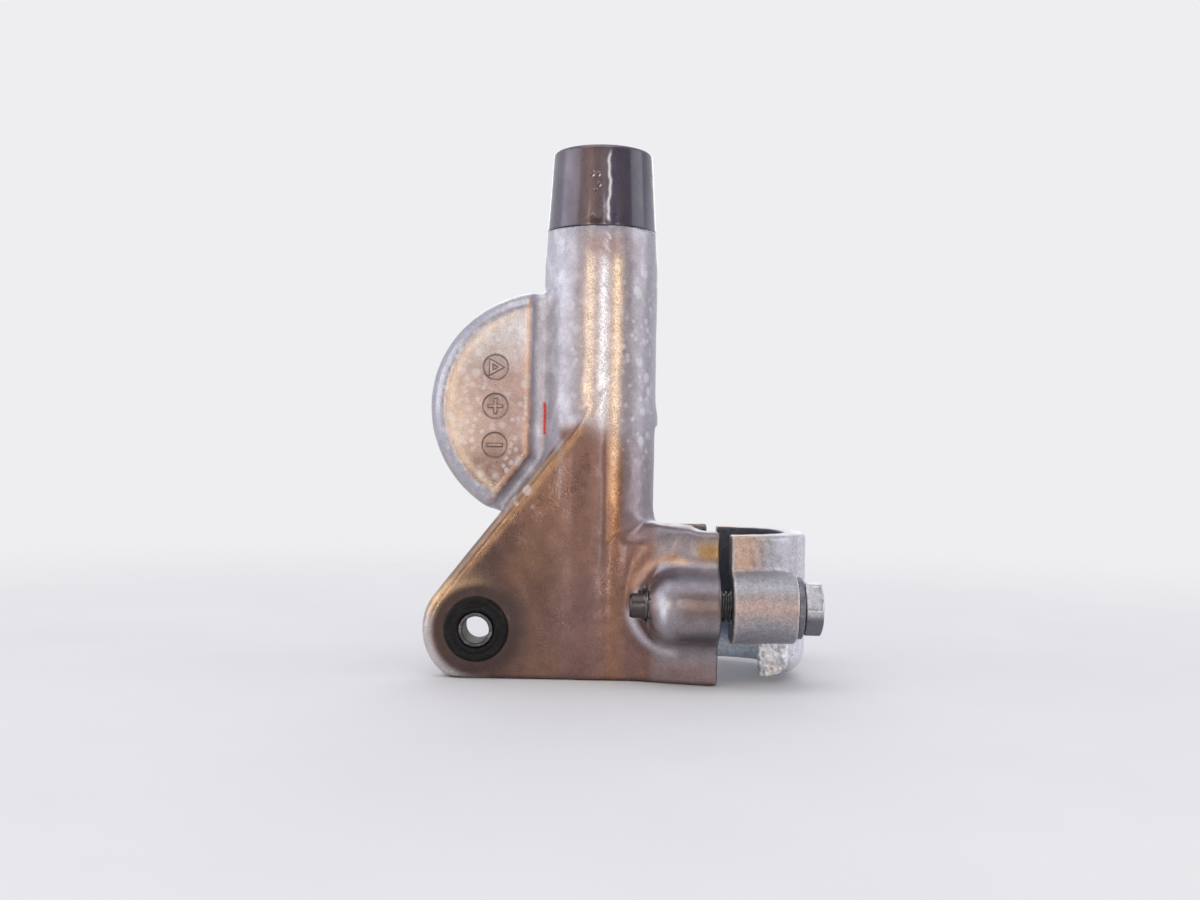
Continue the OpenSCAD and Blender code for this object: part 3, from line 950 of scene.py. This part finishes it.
def steel_material(name, base, dark, light, rough, rust=0.3, tip=False):
    m = Nodes(name)
    brushed = m.noise(0.5, 4.0, 0.65, where=m.stretched(1.0, 3.0, 3.0))
    cloud = m.noise(1.8, 5.0, 0.7)
    colour = m.mix(m.span(brushed, 0.3, 0.7), dark, base)
    colour = m.mix(m.span(cloud, 0.5, 0.75), colour, light)
    spots = m.span(m.noise(1.0, 6.0, 0.75), 0.58, 0.68)
    colour = m.mix(m.times(spots, rust), colour, (96, 58, 36))
    if tip:
        split = m.add("SeparateXYZ")
        m.put(split.inputs[0], m.place)
        along = m.plus(split.outputs["X"], m.times(cloud, 3.0))
        stained = m.span(along, bolt_low[0] + 8.0, bolt_low[0] + 5.0)
        colour = m.mix(m.times(stained, 0.9), colour, (58, 45, 39))
        # painted shade on the shank where it lies in the slit
        past = m.span(split.outputs["X"], -4.2, -3.6)
        short = m.span(split.outputs["X"], 5.6, 5.0)
        colour = m.mix(m.times(past, short, 0.75), colour, (58, 52, 50))
        # painted shade: the head darker below the axis
        below = m.span(split.outputs["Z"], BOLT_Z - 0.4, BOLT_Z - 2.6)
        head = m.span(split.outputs["X"], HEAD_X, HEAD_X + 0.1)
        colour = m.mix(m.times(below, head, 0.75), colour, (68, 66, 80))
    m.set(Base_Color=colour, Metallic=0.85, Coat_Weight=0.1, Coat_Roughness=0.2)
    m.set(Roughness=m.span(cloud, 0.25, 0.75, rough, rough + 0.22))
    m.bump(m.plus(m.times(brushed, 0.5), cloud), 0.05, 0.7)
    return m.material


def rubber_material():
    m = Nodes("aged_rubber")
    dust = m.span(m.noise(1.2, 6.0, 0.7), 0.52, 0.72)
    grain = m.noise(0.35, 3.0, 0.6)
    colour = m.mix(m.span(grain, 0.3, 0.7), (9, 8, 10), (18, 17, 19))
    colour = m.mix(m.times(dust, 0.3), colour, (70, 64, 62))
    scuff = m.span(m.noise(0.9, 5.0, 0.75), 0.66, 0.7)
    colour = m.mix(m.times(scuff, 0.5), colour, (190, 188, 190))
    m.set(Base_Color=colour, Specular_IOR_Level=0.2, Roughness=m.span(dust, 0, 1, 0.34, 0.62))
    m.bump(m.plus(grain, m.noise(1.4, 2.0)), 0.05, 0.7)
    return m.material


def dark_end_material():
    m = Nodes("dark_end_finish")
    tint = m.values("tint")
    cloud = m.noise(4.0, 5.0, 0.6, where=m.stretched(1.0, 1.0, 0.35))
    grain = m.noise(0.4, 3.0, 0.65)
    tone = m.times(m.span(cloud, 0.3, 0.7, 0.84, 1.12), m.span(grain, 0.3, 0.7, 0.9, 1.08))
    m.set(Base_Color=m.scaled(tint, tone), Metallic=0.55, Coat_Weight=0.6, Coat_Roughness=0.08)
    m.set(Roughness=m.span(m.noise(2.4, 4.0), 0.3, 0.7, 0.26, 0.4))
    m.bump(m.plus(m.times(grain, 0.4), m.noise(3.0, 2.0)), 0.05, 0.6)
    return m.material


# pits in the dark end: across from the post's axis, height, radius; the first three have a glint
PITS = [(-2.7, 131.3, 0.42), (-1.1, 131.4, 0.4), (-0.9, 128.6, 0.46), (-1.9, 127.0, 0.34),
        (-2.6, 120.4, 0.36)]


def make_dark_end():
    """The dark end: a taper with a chamfered rim, pits, and a painted highlight line down its front,
    slightly raised in the mesh.
    """
    rim = 0.8
    inner = SPIGOT_R + 0.02
    profile = [
        (inner, SEAM_Z), (SEAM_R - 0.12, SEAM_Z), (SEAM_R, SEAM_Z + 0.15),
        (TOP_R + 0.05, TOP_Z - rim), (TOP_R - 0.25, TOP_Z - 0.3), (TOP_R - rim, TOP_Z),
        (4.2, TOP_Z), (3.6, TOP_Z - 0.12), (0.6, TOP_Z - 0.12), (0.4, TOP_Z - 2.0), (inner, TOP_Z - 2.0),
    ]
    rows = filled_rows(profile, 0.45)
    points, quads = swept(plain(rows), 360, axis_frame((POST_X, POST_Y, 0), (0, 0, 1)), True)
    x, y, z = points.T
    across = x - POST_X
    out = np.stack([x - POST_X, y - POST_Y, 0 * z], 1)
    radius = np.linalg.norm(out, axis=1)
    out /= np.maximum(radius, 1e-6)[:, None]
    outer = (radius > SPIGOT_R + 1.2) & (z < TOP_Z - 0.9) & (z > SEAM_Z + 0.2) & (y < POST_Y)
    # a painted highlight line down the front, with a slight ridge in the mesh
    highlight_x = 1.75 + 0.22 * np.sin(z * 0.55) + 0.1 * np.sin(z * 1.7 + 1)
    highlight_line = bell(across, highlight_x, 0.3) * ramp(SEAM_Z + 0.4, SEAM_Z + 2, z)
    highlight_line = highlight_line * ramp(TOP_Z - 1, TOP_Z - 3.4, z)
    lift = 0.05 * highlight_line + 0.02 * waves(x, y, z, 9, 61)
    pit = np.zeros(len(points))
    for px, pz, pr in PITS:
        pit = np.maximum(pit, ramp(pr * 1.5, pr * 0.4, np.hypot(across - px, z - pz)))
    lift = lift - 0.35 * pit
    points = points + out * np.where(outer, lift, 0)[:, None]
    paint = Paint(len(points), (92, 84, 96))
    over = paint.over
    soft = waves(x, y, z, 8, 62)
    # painted reflections and shade across the front of the side: lighter at the left, a warm patch left
    # of the crest, dark right of the crest, lighter again at the far right
    wall = ramp(TOP_Z - 0.4, TOP_Z - 1.0, z) * ramp(3, -5, y)
    over(wall * ramp(-4, -11, across) * 0.7, (108, 102, 116))
    over(wall * bell(across, -3.2, 3.4) * 0.85, (120, 100, 100))
    over(wall * bell(across, 3.8, 1.6) * 0.75, (54, 52, 80))
    over(wall * ramp(3, 7, across) * 0.85, (50, 48, 62))
    over(wall * ramp(10.6, 13.2, across) * 0.7, (116, 112, 126))
    over((1 - wall) * (0.35 + 0.35 * soft), (112, 94, 94))
    over(np.maximum(soft, 0) * 0.2, (86, 74, 78))
    front = ramp(-4, -8, y) * ramp(TOP_Z - 0.4, TOP_Z - 1.0, z)
    over(highlight_line * front * 0.95, (236, 238, 244))
    # painted shade in the pits
    over(pit * front, (40, 30, 28))
    glint = np.zeros(len(points))
    for px, pz, pr in PITS[:3]:
        glint = np.maximum(glint, ramp(0.34, 0.16, np.hypot(across - px - 0.25, z - pz + 0.2)))
    over(glint * front, (240, 238, 240))
    blot = np.hypot((across + 1.8) / 2.3, (z - SEAM_Z - 0.9) / 1.3) + 0.25 * waves(x, y, z, 2.4, 63)
    over(ramp(1.0, 0.4, blot) * front * 0.85, (58, 44, 44))
    obj = new_object("dark_end", points, quads, "bracket", ["post_end_cap"],
                     dark_end_material())
    add_values(obj, tint=paint.rgb)


def hex_radius(angles):
    """A hexagon's edge at those angles, a corner at angle 0, with slightly soft corners."""
    power = 46
    total = 0.0
    for i in range(6):
        facing = np.maximum(np.cos(angles - math.radians(30 + 60 * i)), 0)
        total = total + facing ** power
    return HEAD_FLATS / 2 / total ** (1 / power)


def make_bolt(name, side, node):
    """A hexagon bolt: thread, plain shank, washer face, head with its worn chamfer."""
    head_h = bolt_high[0] - HEAD_X
    tip = bolt_low[0]
    major, minor = THREAD_R, THREAD_ROOT_R
    rows = plain([(0.3, tip + 0.12), (minor - 0.45, tip)])
    for h in np.arange(tip + 0.35, HEAD_X - 0.12, 0.17):
        def row(a, h=h):
            wave = 0.5 + 0.5 * np.cos(2 * math.pi * (h / PITCH) + a)
            ridge = np.clip((wave - 0.12) / 0.66, 0, 1)
            fade = ramp(THREAD_END_X, THREAD_END_X - 1.5, h)
            lead = ramp(tip, tip + 1.5, h)
            r = minor + (major - minor) * (ridge * fade + (1 - fade))
            worn = minor - 0.1 + 0.8 * ramp(tip + 3.9, tip + 4.7, h)
            return np.minimum(np.minimum(r, worn), minor - 0.5 + (major - minor + 0.5) * lead), h
        rows.append(row)
    chamfer = math.tan(math.radians(28))
    flat_r = HEAD_FLATS / 2 - 0.25

    def side_row(down, inset):
        def row(a):
            r = hex_radius(a) - inset
            top = HEAD_X + head_h - np.maximum(r - flat_r, 0) * chamfer
            low = HEAD_X + 0.35
            return r, low + (top - low) * down
        return row

    rows += plain([(major, HEAD_X + 0.03), (5.9, HEAD_X + 0.03), (6.1, HEAD_X + 0.3)])
    rows.append(lambda a: (hex_radius(a) - 0.12, HEAD_X + 0.32 + 0 * a))
    rows += [side_row(t, 0.0) for t in (0.06, 0.25, 0.5, 0.75, 0.93)]
    rows.append(side_row(1.0, 0.08))
    for t in (0.25, 0.5, 0.75):
        rows.append(lambda a, t=t: (
            hex_radius(a) * (1 - t) + flat_r * t,
            HEAD_X + head_h - (hex_radius(a) - flat_r) * (1 - t) * chamfer))
    end = HEAD_X + head_h
    rows += plain([(flat_r - 0.1, end), (3.6, end - 0.04), (2.9, end - 0.16), (0.3, end - 0.18)])
    points, quads = swept(rows, 96, axis_frame((0, side * BOLT_Y, BOLT_Z), (1, 0, 0)), False)
    x, y, z = points.T
    worn = 0.05 * waves(x, y, z, 3, 71 + side)
    points[:, 1] += np.where(x > HEAD_X + 0.1, worn, 0)
    new_object(name, points, quads, node.replace("_clamp", ""), [node], BOLT_STEEL)


def make_washer(name, side, node):
    r = (washer_high[2] - washer_low[2]) / 2
    left, right = washer_low[0], washer_high[0]
    inner = 4.25
    profile = rounded_profile([(inner, left), (r, left + 0.02), (r, right), (inner, right)], 0.35)
    place = axis_frame((0, side * BOLT_Y, BOLT_Z), (1, 0, 0))
    points, quads = swept(plain(filled_rows(profile, 0.7)), 96, place, True)
    x, y, z = points.T
    out = np.stack([0 * x, y - side * BOLT_Y, z - BOLT_Z], 1)
    points = points + 0.006 * out * waves(x, y, z, 5, 81 + side)[:, None]
    new_object(name, points, quads, "cap", [node], WASHER_STEEL)


def make_rubber():
    depth = rubber_high[1] - rubber_low[1]
    r = (rubber_high[0] - rubber_low[0]) / 2
    c = (collar_high[0] - collar_low[0]) / 2
    lip = 1.4
    profile = [
        (c, 0.5), (c + 0.5, 0.1), (c + 1.2, 0.0), (6.3, 0.28), (r - 0.6, 0.1), (r - 0.1, 0.45),
        (r, 0.85), (r - 0.25, 1.25), (r - 0.7, lip), (EYE_HOLE_R, lip + 0.05), (EYE_HOLE_R, lip + 1.0),
    ]
    mirror = [(pr, depth - ph) for pr, ph in profile[::-1]]
    rows = filled_rows(profile + mirror, 0.5)
    place = axis_frame((EYE_X, rubber_high[1], EYE_Z), (0, -1, 0))
    points, quads = swept(plain(rows), 128, place, True)
    x, y, z = points.T
    reach = np.hypot(x - EYE_X, z - EYE_Z)
    points[:, 1] += np.where(y < -12, 0.1 * waves(x, y, z, 5, 91) * ramp(c + 0.3, c + 1.2, reach), 0)
    new_object("eye_rubber", points, quads, "bracket", ["eye_grommet"], rubber_material())


def make_collar():
    c = (collar_high[0] - collar_low[0]) / 2
    depth = collar_high[1] - collar_low[1]
    inner = COLLAR_BORE_R
    profile = rounded_profile([(inner, 0), (inner, depth), (c, depth), (c, 0)], 0.28)
    rows = filled_rows(profile, 0.5)
    place = axis_frame((EYE_X, collar_high[1], EYE_Z), (0, -1, 0))
    points, quads = swept(plain(rows[::-1]), 128, place, True)
    m = steel_material("collar_steel_stained", (100, 98, 106), (54, 52, 58), (154, 152, 160), 0.3, 0.6)
    # the collar's bore: rust stain and painted shade inside the hole
    bore = steel_material("collar_bore_rust_and_shade", (52, 44, 40), (34, 30, 30), (96, 74, 48), 0.5, 0.7)
    obj = new_object("eye_collar", points, quads, "bracket", ["grommet_collar"], m)
    obj.data.materials.append(bore)
    for face in obj.data.polygons:
        across = face.center / MM
        if math.hypot(across[0] - EYE_X, across[2] - EYE_Z) < inner + 0.12:
            face.material_index = 1


BOLT_STEEL = steel_material(
    "bolt_steel_worn", (206, 206, 212), (160, 158, 162), (228, 228, 234), 0.22, 0.4, True)
WASHER_STEEL = steel_material(
    "washer_steel_dull", (136, 134, 142), (92, 90, 98), (164, 162, 168), 0.32, 0.4)

make_body()
make_cap()
make_dark_end()
make_bolt("bolt_front", -1, "front_clamp_bolt")
make_bolt("bolt_rear", 1, "rear_clamp_bolt")
make_washer("washer_front", -1, "front_bolt_washer")
make_washer("washer_rear", 1, "rear_bolt_washer")
make_rubber()
make_collar()


# ---- stage, lights and camera
def make_floor():
    """A pale round floor that fades out at its edge."""
    work = bmesh.new()
    bmesh.ops.create_circle(work, cap_ends=True, segments=96, radius=FLOOR_R * MM)
    mesh = bpy.data.meshes.new("floor")
    work.to_mesh(mesh)
    work.free()
    floor = bpy.data.objects.new("floor", mesh)
    floor.location = (POST_X * MM, 0, -0.0002)
    bpy.context.scene.collection.objects.link(floor)
    m = Nodes("floor_pale")
    cloud = m.noise(60, 3.0)
    out = m.add("VectorMath")
    out.operation = "LENGTH"
    m.put(out.inputs[0], m.place)
    m.set(Base_Color=m.mix(cloud, (216, 216, 217), (224, 224, 225)), Roughness=0.9)
    m.set(Alpha=m.span(out.outputs["Value"], 520, 90))
    mesh.materials.append(m.material)


def make_world():
    """A plain pale world to the camera; soft light, brighter from the back, to the object."""
    world = bpy.data.worlds.new("studio")
    bpy.context.scene.world = world
    world.use_nodes = True
    world.node_tree.nodes.clear()
    link = world.node_tree.links.new

    def add(kind):
        return world.node_tree.nodes.new("ShaderNode" + kind)

    shown = add("Background")
    shown.inputs[0].default_value = (*linear(238, 238, 240), 1)
    lit = add("Background")
    lit.inputs[1].default_value = 0.95
    split = add("SeparateXYZ")
    link(add("TexCoord").outputs["Generated"], split.inputs[0])
    facing = add("MapRange")
    facing.inputs[1].default_value = -1.0
    link(split.outputs["Y"], facing.inputs[0])
    shade = add("ValToRGB")
    ends = shade.color_ramp.elements
    ends[0].color = (0.34, 0.31, 0.31, 1)
    ends[1].color = (0.75, 0.76, 0.8, 1)
    ends.new(0.28).color = (0.42, 0.4, 0.42, 1)
    ends.new(0.55).color = (0.78, 0.79, 0.87, 1)
    link(facing.outputs[0], shade.inputs[0])
    link(shade.outputs[0], lit.inputs[0])
    choose = add("MixShader")
    link(add("LightPath").outputs["Is Camera Ray"], choose.inputs[0])
    link(lit.outputs[0], choose.inputs[1])
    link(shown.outputs[0], choose.inputs[2])
    link(choose.outputs[0], add("OutputWorld").inputs[0])


def area_light(name, where, target, size, power, colour=(1, 1, 1)):
    data = bpy.data.lights.new(name, "AREA")
    data.shape = "RECTANGLE"
    data.size, data.size_y = size
    data.energy = power
    data.color = colour
    light = bpy.data.objects.new(name, data)
    light.location = where
    light.rotation_euler = (Vector(target) - Vector(where)).to_track_quat("-Z", "Y").to_euler()
    light.visible_camera = False
    bpy.context.scene.collection.objects.link(light)


def make_lights():
    middle = (POST_X * MM, 0, 0.06)
    area_light("strip_front", (0.02, -0.75, 0.08), middle, (0.05, 0.55), 0.8)
    area_light("strip_left_warm", (-0.36, -0.62, 0.08), middle, (0.06, 0.5), 0.7, (1, 0.83, 0.62))
    area_light("strip_right_warm", (0.36, -0.62, 0.08), middle, (0.07, 0.5), 0.7, (1, 0.83, 0.64))
    area_light("soft_top", (-0.1, -0.25, 0.75), middle, (0.8, 0.6), 1.8, (0.97, 0.98, 1))
    area_light("soft_left", (-0.8, -0.2, 0.25), middle, (0.6, 0.7), 1.8, (0.95, 0.97, 1))
    area_light("soft_right", (0.8, -0.1, 0.3), middle, (0.5, 0.7), 1.8, (0.95, 0.97, 1))
    area_light("soft_back", (0.0, 0.8, 0.45), middle, (0.8, 0.5), 1.8)


def make_camera():
    """The photograph's view: straight at the front from 356 mm, rolled one degree."""
    data = bpy.data.cameras.new("camera")
    data.sensor_fit = "HORIZONTAL"
    data.sensor_width = 36
    data.lens = CAMERA_LENS
    data.clip_start = 0.01
    camera = bpy.data.objects.new("camera", data)
    bpy.context.scene.collection.objects.link(camera)
    back = Vector((0, -1, 0))
    up = Vector((-math.sin(CAMERA_ROLL), 0, math.cos(CAMERA_ROLL)))
    side = up.cross(back)
    turn = Matrix((side, up, back)).transposed().to_4x4()
    camera.matrix_world = Matrix.Translation(Vector(CAMERA_AT) * MM) @ turn
    bpy.context.scene.camera = camera


make_floor()
make_world()
make_lights()
make_camera()
bpy.context.scene.view_settings.view_transform = "Standard"
